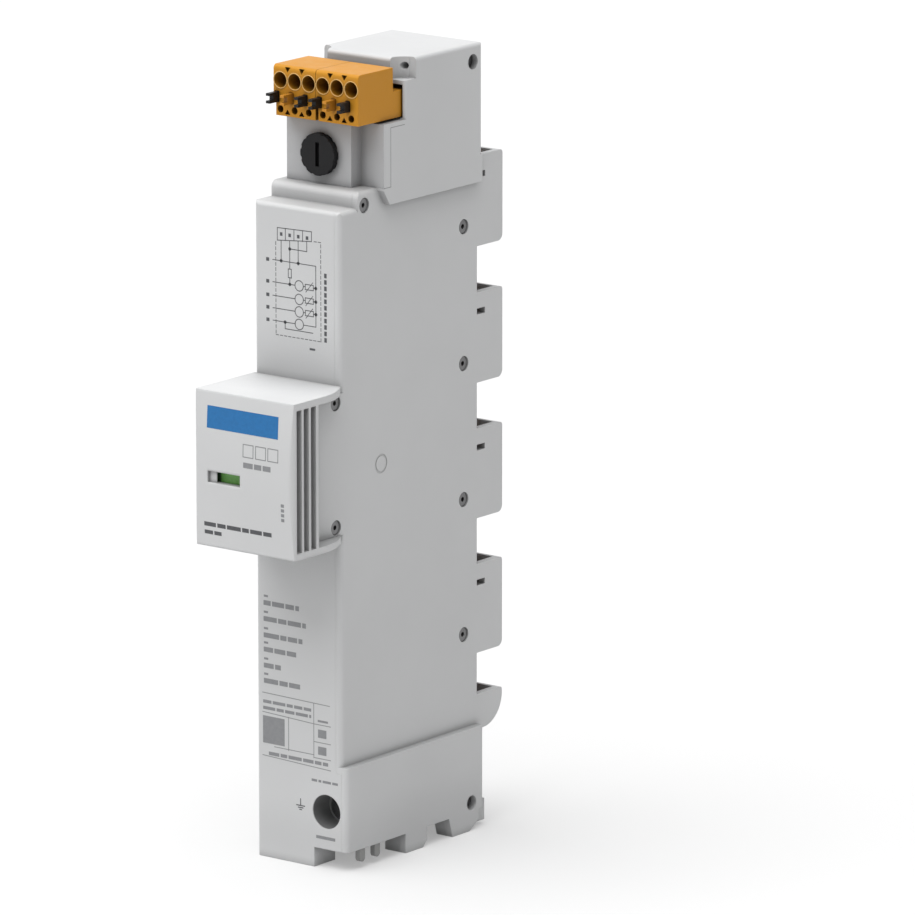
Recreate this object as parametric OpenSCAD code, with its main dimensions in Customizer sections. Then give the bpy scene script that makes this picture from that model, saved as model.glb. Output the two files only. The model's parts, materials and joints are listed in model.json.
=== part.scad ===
// Surge arrester that plugs on to five busbars, with two pull-out plugs, a fuse holder and a status window.
// Lengths in millimetres. X runs to the right, Y from front to rear, Z up. The feet stand on Z = 0.

/* [Housing] */
// Width of the slim main body
body_w = 31; // [30:0.5:33]
// Depth of the main body from front face to rear face
body_d = 63; // [62:0.5:67]
// Height of the ridge on top of the main body
ridge_z = 196; // [195:0.5:199]
// Step down from the ridge to the front lip
lip_drop = 4.5; // [3:0.5:5.5]
// Depth of the shelf behind the front lip
shelf_d = 8; // [6.5:0.5:9]
// Wall thickness of the mouldings
wall = 2; // [1.8:0.1:2.2]
// Radius of the upright front edges
edge_r = 1.5; // [0.6:0.1:1.6]
// Diameter of a rivet head recess
rivet_seat_d = 4.4; // [3.8:0.1:4.8]

/* [End boxes] */
// How far both end boxes stand out on the right side
box_step = 2; // [1.5:0.25:2.5]
// Height of the lower box floor above the standing plane
base_z = 5.8; // [5.2:0.1:6.4]
// Height of the ledge on top of the lower box
ledge_z = 30.7; // [29.5:0.1:33]
// Height of the plug shelf above the ridge
shelf_rise = 18.3; // [17.5:0.1:20]
// Set-back of the upper box front face
upper_y = 27; // [26:0.25:28]
// Height of the upper box top above the plugs
top_margin = 1.9; // [1.2:0.1:2.4]
// Radius of the upper box edges
box_r = 1.2; // [0.6:0.1:1.5]
// Radius of the scallops in the top front corners
scallop_r = 5.2; // [4:0.1:5.6]

/* [Nose] */
// Width of the nose
nose_w = 35.6; // [35:0.2:37]
// Height of the nose
nose_h = 45; // [44.5:0.5:46]
// Distance of the nose front from the body front
nose_d = 27.4; // [26.5:0.1:28]
// Height of the nose underside
nose_z = 96.8; // [96:0.2:97.6]
// Bulge of the nose front
nose_crown = 1; // [0.6:0.1:1.2]
// Radius of the upright nose edges
nose_r = 1.6; // [1:0.1:1.8]
// Width of a grip groove
groove_w = 2.2; // [1.6:0.1:2.4]
// Spacing of the grip grooves
groove_pitch = 3.2; // [3:0.05:3.3]
// Depth of the grip grooves on the right flank
groove_t = 3; // [1.5:0.1:3.5]
// Width of the status window
window_w = 11.6; // [9:0.2:12]
// Height of the status window
window_h = 3.3; // [2.8:0.1:3.8]

/* [Busbar feet] */
// Spacing of the busbars
foot_pitch = 40; // [39.5:0.25:40.5]
// Height of the lowest full foot underside
foot_z = 51.8; // [51:0.1:52.5]
// Height of a full foot
foot_h = 26.5; // [25:0.5:27.5]
// Depth of the feet behind the body
foot_d = 12; // [11:0.5:14]
// Height of the short foot at the bottom
short_h = 10.5; // [10:0.25:11.5]
// Width of a busbar clip
clip_w = 16; // [12:1:22]

/* [Plugs] */
// Spacing of the poles
pole_pitch = 5.08; // [5:0.02:5.1]
// Radius of a wire entry
entry_r = 2.25; // [1.6:0.05:2.3]
// Radius of a test probe hole
test_r = 1.05; // [0.7:0.05:1.1]
// Height of a plug
plug_h = 14.5; // [14.2:0.1:15.2]
// Travel of a release button
button_stroke = 2; // [1.2:0.1:2.2]
// How far a release button stands out
button_out = 4.2; // [3:0.1:4.6]

/* [Fuse holder] */
// Radius of the fuse cap
cap_r = 6.1; // [5.6:0.1:6.6]
// How far the fuse cap stands out
cap_out = 2.1; // [1.6:0.1:2.6]
// Radius of the fuse link end caps
fuse_r = 2.6; // [2.3:0.05:2.65]
// Length of the fuse link
fuse_l = 20; // [19.5:0.25:20.5]

/* [Earth terminal] */
// Radius of the screw access hole
access_r = 5; // [4.6:0.1:5.1]
// Radius of the screw shank
shank_r = 2.5; // [2:0.1:2.5]
// Travel of the clamp cage
clamp_stroke = 3; // [2:0.1:3]

/* [Inner parts] */
// Edge length of a varistor
varistor_s = 34; // [30:0.5:35]
// Thickness of a varistor
varistor_t = 8; // [6:0.25:8.25]
// Radius of a phase spark gap
gap_r = 4.5; // [3.8:0.05:4.55]
// Radius of the neutral spark gap
earth_gap_r = 10; // [8.5:0.25:10.5]
// Travel of the status flag
flag_stroke = 4.2; // [4:0.1:4.5]

/* [Hidden] */
$fn = 64;
eps = 0.01;
past = 1;
fit = 0.3;
snug = 0.15;

x_left = -body_w / 2;
x_right = body_w / 2;
x_box = x_right + box_step;
x_part = x_right - wall;
x_box_part = x_box - wall;
x_in = x_left + wall;
x_nose = x_left + nose_w;
x_mid = x_left + nose_w / 2;

lip_z = ridge_z - lip_drop;
lip_r = 1.3;
ridge_r = 2;
shelf_z = ridge_z + shelf_rise;
apron_z = ridge_z - 5;
step_y = 17.4;
seam_y = 20.6;
chamfer_y = 2.7;
chamfer_z = 4.2;

plug_z = shelf_z + 0.8;
plug_top = plug_z + plug_h;
box_top = plug_top + top_margin;
scallop_z = box_top - 6.1;
scallop_hole = [3.2, 2, -2.6];
scallop_hole_r = 1;
scallop_hole_d = 5;
corner_w = 6.5;
corner_d = 8;

plate_t = 2;
snout_d = 15.6;
nose_wall = 2.4;
groove_y = -snout_d - 5.6;
left_groove_t = 1.2;
nose_top = nose_z + nose_h;
nose_mid = nose_z + nose_h / 2;
nose_bend_y = -13;
nose_in = [x_left + nose_wall, x_right - 1];
crown_r = (pow(nose_h / 2, 2) + pow(nose_crown, 2)) / (2 * nose_crown);
flank_in = x_nose - x_right;
flank_r = (pow(nose_bend_y, 2) + pow(flank_in, 2)) / (2 * flank_in);
window_x = -4.7;
window_z = nose_z + 20.5;

feet = 4;
short_z = 29;
earth_stem_z = short_z + wall + 2.6;
foot_r = 2;
short_r = 9;
foot_top_r = 1;
slot_h = 1.7;
slot_d = 3.8;
slot_drop = 6.5;
y_feet = body_d + foot_d;
y_mid = (y_feet - nose_d) / 2;

rivet_hole_r = 1.4;
rivet_r = 1.3;
rivet_bore_r = 0.7;
rivet_head_r = rivet_seat_d / 2 - 0.2;
rivet_head_t = 0.5;
rivet_seat_t = 0.9;
post_r = 2.4;
rivet_y = body_d - 6.2;
rivet_rise = 6.7;
nose_rivet_y = -2.2;
nose_rivet_rise = 18;
top_rivet = [11, ridge_z - 4];
upper_rivet = [body_d - 4.5, box_top - 5.2];
lower_rivet = [body_d - 5, base_z + 2.5];
mark_y = 18.4;
mark_z = 116.2;
mark_r = 2.8;
mark_t = 0.15;
mark_w = 0.6;
box_seat = 0.6;

mid_foot_y = 27;
mid_foot_d = 10;
mid_foot_cut = 2;
rear_foot_y = 47;
rear_foot_d = 14.5;
rear_foot_slope = 2;
rear_foot_cut = [4.5, 3];
rear_foot_in = 3.8;
left_foot_w = 5.8;
hook_z = [1.3, 7.7];
hook_d = 3.6;
bump_z = [9, 13];
bump_d = 1.5;
nib_x = [4, 8];
nib_rise = [10, 12];
nib_d = 0.8;
peg_y = [6, 12.9];
peg_w = 2.4;
peg_drop = 2.7;
peg_in = 0.2;
rear_edge_rise = 3;

poles = 3;
plug_w = poles * pole_pitch;
plug_x = [-6.62, 8.62];
plug_y = 7.5;
plug_d = 15.8;
tongue_d = 10.7;
tongue_h = 7.7;
plug_back = plug_y + plug_d;
tongue_back = plug_back + tongue_d;
entry_z = plug_top - 4.3;
test_z = plug_z + 1.9;
entry_d = 10;
test_d = 6;
button_x = -1.2;
button_w = 1.4;
button_h = 2.9;
button_z = plug_z + 3.9;
notch_h = 1.4;
notch_d = 1.6;
chamber_y = plug_y + 8.6;
button_in = chamber_y - plug_y - button_stroke - 1;
chamber_over = 1.4;
contact_over = 1.2;
contact_leaf = 1.4;
plug_r = 1.2;
chamber_w = 3.4;
chamber_d = 5.6;
channel_z = plug_z + 2;
channel_h = 3.8;
contact_w = 3;
contact_bore = 1.6;
contact_gap = (channel_h - contact_w) / 2;
contact_y = chamber_y + 1;
contact_back = tongue_back - 0.5;
pin_w = 1;
pin_z = channel_z + channel_h / 2;
socket_gap = 0.4;
socket_rise = 1.4;
key_w = 0.9;
key_h = 3.6;
relief_w = 2;
relief_h = 1.5;
relief_d = 1.2;
relief_top = 0.5;
relief_low = 0.5;

board_y = 40;
board_t = 1.6;
board_z = ridge_z + 1.5;
header_y = 36;
header_h = 8;
pin_y = upper_y + 0.6;

fuse_x = -1.2;
fuse_z = ridge_z + 8.6;
block_x = -13.8;
block_w = 23.2;
block_y = 12.9;
insert_back = upper_y + wall;
barrel_r = 6.2;
barrel_back = 31.7;
skirt_r = 4.5;
skirt_back = 21.5;
skirt_bore_r = 4.8;
fuse_bore_r = fuse_r + 0.35;
fuse_y = 15.2;
fuse_end = 5;
tube_r = fuse_r - 0.2;
cup_r = fuse_bore_r + 0.55;
cup_y = 32;
cap_slot_w = 1.4;
cap_slot_h = 7;
cap_slot_t = 1.2;
cap_gap = 0.2;
cap_lobes = 12;
lobe_r = 0.7;
lobe_in = 0.35;

term_x = x_right - 5.5;
term_z = 16.9;
leg_x = term_x - 4.5;
leg_d = 9.5;
tunnel_back = 11.3;
flange_t = 0.8;
tunnel_x = term_x - access_r - 1.5;
tunnel_h = access_r + 1.5;
head_r = access_r - 0.8;
head_t = 3;
head_slot_w = 1.2;
head_slot_t = 1.4;
head_y = tunnel_back - fit - head_t;
access_d = head_y - fit;
cage_w = 10.4;
cage_h = 10;
cage_wall = 1.8;
cage_side = 1.1;
cage_y = tunnel_back + flange_t + fit + clamp_stroke;
tongue_t = 1.8;
tongue_y = cage_y + cage_wall + clamp_stroke + 0.1;
wire_gap = 4.6;
wire_w = 8;
wire_y = tongue_y + tongue_t;
cage_back = wire_y + wire_gap + cage_wall;
earth_arm_z = 25;
earth_bar_t = 1.2;
earth_bend_top = ledge_z - wall - fit;

strip_t = 0.8;
stem_x = x_in + varistor_t + 0.6;
stem_w = 8.9;
stem_y = body_d - 13.5;
jaw_gap = 6;
jaw_y = body_d + 0.7;
jaw_r = 0.7;
jaw_drop = 2;

spring_t = 0.6;
spring_h = 6;
pad_h = 8;
finger_h = 3;
varistor_y = 16;
pad_y = varistor_y + 12;
spring_leg = 3;
varistor_rise = foot_h / 2;
lug_w = 2;
lug_h = 8;
lug_x = x_in + 3.6;
gap_play = 0.1;
gap_x = x_in + gap_r + gap_play;
gap_y = 9;
gap_l = 14;
gap_cap_l = 3;
gap_neck = 0.4;
neutral_x = gap_x + gap_r + 2 * gap_play;
neutral_over = 3.5;
neutral_t = 1.2;
neutral_y = 4.5;
neutral_w = 7.5;
neutral_foot_z = 28;
neutral_foot_h = 8;
neutral_arm_h = 6.4;
earth_gap_y = stem_y - earth_gap_r - 4.5;
earth_gap_z = 32;
earth_gap_l = 16;
earth_gap_x = x_in + earth_gap_l;
lead_r = 0.9;
lead_x = 2;
lead_y = 46;
lead_top = ridge_z + 4;

trip_x = x_in + varistor_t + spring_t + fit;
trip_w = 2.4;
trip_y = 14;
trip_z = foot_z + 8.2;
trip_top = foot_z + 2 * foot_pitch + 18.2;
arm_x = trip_x + trip_w;
arm_w = 2.6;
arm_z = nose_z + 12.5;
arm_h = 5;
arm_gap = 1;
guide_t = 3;
guide_y = trip_y - 1.7;
guide_wall = 1.6;
guide_x = arm_x + guide_wall;
flag_y = -nose_d + nose_wall + fit;
flag_t = 1.2;
flag_x = nose_in[0] + 0.4;
flag_w = 17.6;
flag_z = window_z - 6.65;
flag_h = 10;
rail_z = flag_z - 1.5;
rail_h = flag_h + flag_stroke + 3;
rail_w = 1.2;
rail_lip = 1.1;

function foot_at(k) = foot_z + k * foot_pitch;
function varistor_at(k) = foot_at(k) + varistor_rise;
function stem_at(k) = foot_at(k) + wall;
function pole_x(i) = plug_x[floor(i / poles)] + (i % poles - (poles - 1) / 2) * pole_pitch;

// Moves the body frame so that the origin lies under the middle of the whole outline
module seat() { translate([-x_mid, -y_mid, 0]) children(); }

// Box between two opposite corners
module span(a, b) { translate(a) cube(b - a); }

// Slice between two X planes of an outline drawn in Y and Z
module slab(x0, x1) {
  translate([x0, 0, 0])
    rotate([90, 0, 90])
      linear_extrude(x1 - x0) children();
}

// Cylinder along X or along Y
module rod_x(p, r, l) { translate(p) rotate([0, 90, 0]) cylinder(r = r, h = l); }
module rod_y(p, r, l) { translate(p) rotate([-90, 0, 0]) cylinder(r = r, h = l); }

// What is cut away to round a corner of an outline, or an edge along Z, X or Y
module corner(y, z, sy, sz, r) {
  translate([y, z])
    mirror([sy < 0 ? 1 : 0, 0])
      mirror([0, sz < 0 ? 1 : 0])
        difference() {
          translate([-r, -r]) square(r + past / 2);
          translate([-r, -r]) circle(r);
        }
}

module round_cut(r, l) {
  difference() {
    translate([-r, -r, 0]) cube([r + past / 2, r + past / 2, l]);
    translate([-r, -r, -past]) cylinder(r = r, h = l + 2 * past);
  }
}

module edge_z(x, y, z0, z1, sx, sy, r) {
  translate([x, y, z0])
    mirror([sx < 0 ? 1 : 0, 0, 0])
      mirror([0, sy < 0 ? 1 : 0, 0])
        round_cut(r, z1 - z0);
}

module edge_x(y, z, x0, x1, sy, sz, r) {
  translate([x0, y, z])
    mirror([0, sy < 0 ? 1 : 0, 0])
      mirror([0, 0, sz < 0 ? 1 : 0])
        rotate([90, 0, 90])
          round_cut(r, x1 - x0);
}

module edge_y(x, z, y0, y1, sx, sz, r) {
  translate([x, y0, z])
    mirror([sx < 0 ? 1 : 0, 0, 0])
      mirror([0, 0, sz < 0 ? 1 : 0])
        rotate([-90, 0, 0])
          rotate([0, 0, -90])
            round_cut(r, y1 - y0);
}

// Side outline of the slim body with the neck behind the nose
module body_outline(z0) {
  difference() {
    union() {
      translate([0, z0]) square([body_d, ridge_z - z0]);
      translate([-snout_d, nose_z + plate_t]) square([snout_d + past, nose_h - 2 * plate_t]);
    }
    translate([-past, lip_z]) square([shelf_d + past, lip_drop + past]);
    corner(0, lip_z, -1, 1, lip_r);
    corner(shelf_d, ridge_z, -1, 1, ridge_r);
  }
}

// Side outline of one foot, with its lower rear corner rounded
module foot_outline(z, h, r) {
  difference() {
    translate([body_d - past, z]) square([foot_d + past, h]);
    corner(y_feet, z, 1, -1, r);
    corner(y_feet, z + h, 1, 1, foot_top_r);
  }
}

module foot_outlines() {
  for (k = [0 : feet - 1])
    foot_outline(foot_at(k), foot_h, foot_r);
  foot_outline(short_z, short_h, short_r);
}

// Hollow of the body and of the neck
module body_hollow() {
  difference() {
    translate([wall, base_z + wall]) square([body_d - 2 * wall, ridge_z - base_z - 2 * wall]);
    translate([0, lip_z - wall]) square([shelf_d + wall, lip_drop + wall]);
  }
  translate([wall - snout_d, nose_z + plate_t + wall])
    square([snout_d + past, nose_h - 2 * plate_t - 2 * wall]);
}

// Hollow of one foot, open at the top
module foot_pocket(z, h, r) {
  difference() {
    translate([body_d, z + wall]) square([foot_d - wall, h]);
    if (r > wall + past)
      corner(y_feet - wall, z + wall, 1, -1, r - wall);
  }
}

module foot_pockets() {
  for (k = [0 : feet - 1])
    foot_pocket(foot_at(k), foot_h, foot_r);
  foot_pocket(short_z, short_h, short_r);
}

// Small window in the flank of each full foot
module foot_slots() {
  for (k = [0 : feet - 1])
    translate([body_d, foot_at(k) + foot_h - slot_drop]) square([slot_d, slot_h]);
}

// Standing foot near the middle and standing foot at the rear, drawn in Y and Z
module middle_foot() {
  back = mid_foot_y + mid_foot_d;
  polygon([[mid_foot_y, base_z + past], [mid_foot_y, 0], [back - mid_foot_cut, 0],
           [back, mid_foot_cut], [back, base_z + past]]);
}

module rear_foot() {
  back = rear_foot_y + rear_foot_d;
  polygon([[rear_foot_y, base_z + past], [rear_foot_y + rear_foot_slope, 0], [back - rear_foot_cut[0], 0],
           [back, rear_foot_cut[1]], [back, base_z + past]]);
}

// Rivet places in Y and Z through the slim body
module at_body_rivets() {
  for (k = [0 : feet - 1])
    translate([0, rivet_y, foot_at(k) + rivet_rise]) children();
  for (s = [-1, 1])
    translate([0, nose_rivet_y, nose_mid + s * nose_rivet_rise]) children();
  translate([0, top_rivet[0], top_rivet[1]]) children();
}

// Rivet places in Y and Z through the end boxes
module at_box_rivets() {
  translate([0, upper_rivet[0], upper_rivet[1]]) children();
  translate([0, lower_rivet[0], lower_rivet[1]]) children();
}

// Quarter-round cut in a top front corner, with its small screw hole
module scallop(x, s) {
  translate([x, upper_y, scallop_z]) cylinder(r = scallop_r, h = box_top);
  rod_y([x - s * scallop_hole[0], upper_y + scallop_hole[1], box_top + scallop_hole[2]],
        scallop_hole_r, scallop_hole_d);
}

// Space that a plug tongue needs in the upper box
module socket_space() {
  span([plug_x[0] - plug_w / 2 - socket_gap, upper_y - past, plug_z - socket_gap],
       [plug_x[1] + plug_w / 2 + socket_gap, tongue_back + socket_gap, plug_z + tongue_h + socket_rise]);
}

// Guide that keeps the trip bar upright
module trip_guide(z) {
  difference() {
    span([x_in - eps, guide_y, z], [guide_x, trip_y + trip_w + guide_wall, z + guide_t]);
    span([trip_x - fit, trip_y - fit, z - past],
         [trip_x + trip_w + fit, trip_y + trip_w + fit, z + guide_t + past]);
  }
}

// Tray that forms the left flank, front, rear, floor and top, with the busbar feet
module base_solid() {
  slab(x_left, x_part) body_outline(base_z);
  slab(x_left, x_part) foot_outlines();
  span([x_left, 0, base_z], [x_box_part, body_d, ledge_z - wall]);
  span([x_left, 0, 0], [leg_x, leg_d, base_z + past]);
  slab(term_x, x_box_part) middle_foot();
  slab(x_box_part - rear_foot_in, x_box_part) rear_foot();
  slab(x_left, x_left + left_foot_w) rear_foot();
  span([x_box_part - rear_foot_in, body_d - wall, hook_z[0]], [x_box_part, body_d + hook_d, hook_z[1]]);
  span([x_box_part - rear_foot_in, body_d - wall, bump_z[0]], [x_box_part, body_d + bump_d, bump_z[1]]);
  span([x_left, upper_y, ridge_z - past], [x_part, body_d, ridge_z]);
  span([x_left, upper_y, ridge_z], [x_box_part, body_d, box_top]);
  span([x_left, seam_y, ridge_z], [x_in, upper_y + past, shelf_z]);
  span([nib_x[0], body_d - past, ridge_z + nib_rise[0]], [nib_x[1], body_d + nib_d, ridge_z + nib_rise[1]]);
}

module base_hollow() {
  slab(x_in, x_box) body_hollow();
  slab(x_in, x_box) foot_pockets();
  slab(x_left - past, x_box) foot_slots();
  span([x_in, wall, base_z + wall], [x_box, body_d - wall, ledge_z - wall - eps]);
  span([x_in, wall, wall], [leg_x - wall, leg_d - wall, base_z + 2 * wall]);
  span([x_in, upper_y + wall, ridge_z - 2 * wall], [x_box, body_d - wall, box_top - wall]);
  span([x_in, upper_y - past, ridge_z], [x_box, upper_y + wall + past, shelf_z]);
  for (k = [0 : feet - 1])
    span([stem_x, body_d - 2 * wall, stem_at(k)],
         [stem_x + stem_w + fit, body_d + past, stem_at(k) + strip_t + fit]);
  span([stem_x, body_d - 2 * wall, earth_stem_z],
       [stem_x + stem_w + fit, body_d + past, earth_stem_z + strip_t + fit]);
}

module base_shell() {
  color("lightgray")
    seat()
      difference() {
        union() {
          difference() {
            base_solid();
            base_hollow();
          }
          at_body_rivets() rod_x([x_in - past, 0, 0], post_r, x_part - x_in + past);
          at_box_rivets() rod_x([x_in - past, 0, 0], post_r, x_box_part - x_in + past - box_seat);
          span([tunnel_x, past, term_z - tunnel_h], [x_box_part, tunnel_back + flange_t, term_z + tunnel_h]);
          for (x = [x_left, x_box_part - corner_w])
            span([x + eps, upper_y + past, plug_z + tongue_h + socket_rise],
                 [x + corner_w, upper_y + corner_d, box_top - past]);
          for (k = [0, 1])
            trip_guide(varistor_at(k) + foot_pitch / 2 - guide_t / 2);
        }
        at_body_rivets() rod_x([x_left - past, 0, 0], rivet_hole_r, body_w);
        at_box_rivets() rod_x([x_left - past, 0, 0], rivet_hole_r, body_w + box_step);
        at_body_rivets() rod_x([x_left - past, 0, 0], rivet_seat_d / 2, rivet_seat_t + past);
        at_box_rivets() rod_x([x_left - past, 0, 0], rivet_seat_d / 2, rivet_seat_t + past);
        at_box_rivets() rod_x([x_box_part - box_seat, 0, 0], rivet_seat_d / 2, box_seat + past);
        rod_y([term_x, -past, term_z], access_r, access_d + past);
        rod_y([term_x, 0, term_z], head_r + fit, tunnel_back);
        rod_y([term_x, 0, term_z], shank_r + fit, tunnel_back + 2 * past);
        span([term_x - wire_w / 2, wire_y + snug, 0],
             [term_x + wire_w / 2, wire_y + wire_gap - snug, base_z + wall + past]);
        span([arm_x - arm_gap, -snout_d - past, arm_z - arm_gap],
             [arm_x + arm_w + arm_gap, 2 * wall - snout_d, arm_z + arm_h + flag_stroke + arm_gap]);
        span([x_part, body_d - past, ridge_z - past],
             [x_box_part + past, body_d + past, foot_at(feet - 1) + foot_h]);
        socket_space();
        scallop(x_left, -1);
        scallop(x_box, 1);
        edge_z(x_left, 0, -past, nose_z + plate_t, -1, -1, edge_r);
        edge_z(x_left, 0, nose_top - plate_t, lip_z + past, -1, -1, edge_r);
        edge_z(x_left, upper_y, shelf_z, box_top + past, -1, -1, box_r);
        edge_x(upper_y, box_top, x_left - past, x_box_part, -1, 1, box_r);
        edge_x(body_d, box_top, x_left - past, x_box_part, 1, 1, box_r);
        edge_y(x_left, box_top, upper_y - past, body_d + past, -1, 1, box_r);
      }
}

// Stepped plate that closes the tray on the right
module side_cover() {
  color("silver")
    seat()
      difference() {
        union() {
          slab(x_part, x_right) body_outline(ledge_z - wall);
          slab(x_part, x_right) foot_outlines();
          span([x_part, 0, ledge_z - wall], [x_box, body_d, ledge_z]);
          span([x_box_part, 0, base_z], [x_box, body_d, ledge_z]);
          slab(x_box_part, x_box) middle_foot();
          slab(x_box_part, x_box) rear_foot();
          for (y = peg_y) {
            span([x_box_part + peg_in, y, base_z - peg_drop], [x_box - peg_in, y + peg_w, base_z + past]);
            rod_x([x_box_part + peg_in, y + peg_w / 2, base_z - peg_drop], peg_w / 2, wall - 2 * peg_in);
          }
          difference() {
            span([x_part, step_y, apron_z], [x_box, body_d, ridge_z]);
            slab(x_part - past, x_box + past)
              polygon([[step_y - past, apron_z - past], [step_y + chamfer_y, apron_z - past],
                       [step_y + chamfer_y, apron_z], [step_y, apron_z + chamfer_z],
                       [step_y - past, apron_z + chamfer_z]]);
          }
          span([x_box_part, seam_y, ridge_z - past], [x_box, body_d, shelf_z]);
          span([x_box_part, upper_y, ridge_z - past], [x_box, body_d, box_top]);
        }
        at_body_rivets() rod_x([x_part - past, 0, 0], rivet_hole_r, wall + 2 * past);
        at_body_rivets() rod_x([x_right - rivet_seat_t, 0, 0], rivet_seat_d / 2, 2 * box_step);
        at_box_rivets() rod_x([x_box_part - past, 0, 0], rivet_seat_d / 2, wall + 2 * past);
        slab(x_part - past, x_box) foot_slots();
        difference() {
          rod_x([x_right - mark_t, mark_y, mark_z], mark_r, past);
          rod_x([x_right - past, mark_y, mark_z], mark_r - mark_w, 2 * past);
        }
        socket_space();
        scallop(x_box, 1);
        edge_z(x_right, 0, ledge_z, nose_z + plate_t, 1, -1, edge_r);
        edge_z(x_right, 0, nose_top - plate_t, lip_z + past, 1, -1, edge_r);
        edge_z(x_box, 0, 0, ledge_z + past, 1, -1, edge_r);
        edge_y(x_right, ridge_z, shelf_d - past, step_y, 1, 1, lip_r);
        edge_y(x_right, lip_z, -past, shelf_d, 1, 1, lip_r);
        edge_z(x_box, upper_y, shelf_z, box_top + past, 1, -1, box_r);
        edge_z(x_box, body_d, ridge_z + rear_edge_rise, box_top + past, 1, 1, box_r);
        edge_x(upper_y, box_top, x_box_part - past, x_box + past, -1, 1, box_r);
        edge_x(body_d, box_top, x_box_part - past, x_box + past, 1, 1, box_r);
        edge_y(x_box, box_top, upper_y - past, body_d + past, 1, 1, box_r);
      }
}

// Plan outline of the nose, flush on the left, with a right flank that curves in towards the body
module nose_plan() {
  difference() {
    translate([x_left, -nose_d - past]) square([nose_w, nose_d + past]);
    difference() {
      translate([x_right - past, nose_bend_y]) square([flank_in + 2 * past, past - nose_bend_y]);
      translate([x_nose - flank_r, nose_bend_y]) circle(flank_r, $fn = 360);
    }
  }
}

// Nose with grip grooves, a bulged front and the status window
module front_cover() {
  color("gainsboro")
    seat() {
      difference() {
        intersection() {
          translate([0, 0, nose_z]) linear_extrude(nose_h) nose_plan();
          rod_x([-nose_w, crown_r - nose_d, nose_mid], crown_r, 2 * nose_w, $fn = 360);
        }
        span([-nose_w, -snout_d, nose_z + plate_t], [nose_w, past, nose_top - plate_t]);
        span([nose_in[0], nose_wall - nose_d, nose_z + plate_t],
             [nose_in[1], past - snout_d, nose_top - plate_t]);
        for (k = [-1 : 1]) {
          y = groove_y + k * groove_pitch;
          span([x_nose - groove_t, y - groove_w / 2, nose_z + plate_t],
               [x_nose + past, y + groove_w / 2, nose_top - plate_t]);
          span([x_left - past, y - groove_w / 2, nose_z + plate_t],
               [x_left + left_groove_t, y + groove_w / 2, nose_top - plate_t]);
        }
        span([window_x - window_w / 2, -nose_d - past, window_z - window_h / 2],
             [window_x + window_w / 2, nose_wall - nose_d + past, window_z + window_h / 2]);
        edge_z(x_left, -nose_d, nose_z - past, nose_top + past, -1, -1, nose_r);
        edge_z(x_nose, -nose_d, nose_z - past, nose_top + past, 1, -1, nose_r);
      }
      span([nose_in[0] - eps, flag_y + flag_t + fit, rail_z],
           [flag_x + rail_lip, flag_y + 2 * flag_t + fit, rail_z + rail_h]);
      span([flag_x + flag_w + fit, flag_y - fit - eps, rail_z],
           [flag_x + flag_w + fit + rail_w, flag_y + 2 * flag_t + fit, rail_z + rail_h]);
      span([flag_x + flag_w - rail_lip, flag_y + flag_t + fit, rail_z],
           [flag_x + flag_w + fit + rail_w, flag_y + 2 * flag_t + fit, rail_z + rail_h]);
    }
}

// One tubular rivet with a flange at each end
module rivet(x0, x1) {
  difference() {
    union() {
      rod_x([x0, 0, 0], rivet_r, x1 - x0);
      rod_x([x0, 0, 0], rivet_head_r, rivet_head_t);
      rod_x([x1 - rivet_head_t, 0, 0], rivet_head_r, rivet_head_t);
    }
    rod_x([x0 - past, 0, 0], rivet_bore_r, x1 - x0 + 2 * past);
  }
}

module housing_rivets() {
  color("dimgray")
    seat() {
      at_body_rivets() rivet(x_left + rivet_seat_t - rivet_head_t, x_right - rivet_seat_t + rivet_head_t);
      at_box_rivets() rivet(x_left + rivet_seat_t - rivet_head_t, x_box_part - box_seat + rivet_head_t);
    }
}

// Insert under the plugs with the fuse block and the fuse barrel
module terminal_insert() {
  inner_x0 = x_in + snug;
  inner_x1 = x_box_part - snug;
  color("darkgray")
    seat()
      difference() {
        union() {
          difference() {
            union() {
              span([block_x, block_y, ridge_z], [block_x + block_w, step_y + past, shelf_z]);
              span([x_left, step_y, ridge_z], [x_box, seam_y, shelf_z]);
              span([inner_x0, seam_y - past, ridge_z], [inner_x1, insert_back, shelf_z]);
            }
            span([block_x + wall, block_y + wall, ridge_z + wall],
                 [block_x + block_w - wall, insert_back, shelf_z - wall]);
            span([inner_x0 + wall, step_y + wall, ridge_z + wall],
                 [inner_x1 - wall, insert_back + past, shelf_z - wall]);
          }
          rod_y([fuse_x, block_y + past, fuse_z], barrel_r, barrel_back - block_y - past);
        }
        rod_y([fuse_x, block_y - past, fuse_z], skirt_bore_r, skirt_back + fit - block_y + past);
        rod_y([fuse_x, block_y, fuse_z], fuse_bore_r, barrel_back);
      }
}

// Block behind the sockets that holds the pins
module pin_header() {
  color("dimgray")
    seat()
      difference() {
        span([x_in, header_y, plug_z], [x_box_part, board_y, plug_z + header_h]);
        for (i = [0 : 2 * poles - 1])
          translate([pole_x(i) - pin_w / 2, header_y - past, pin_z - pin_w / 2])
            cube([pin_w, board_y, pin_w]);
      }
}

module header_pins() {
  color("silver")
    seat()
      for (i = [0 : 2 * poles - 1])
        span([pole_x(i) - pin_w / 2, pin_y, pin_z - pin_w / 2],
             [pole_x(i) + pin_w / 2, board_y, pin_z + pin_w / 2]);
}

module header_board() {
  color("darkgreen")
    seat()
      span([x_in, board_y, board_z], [x_box_part, board_y + board_t, box_top - wall]);
}

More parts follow.
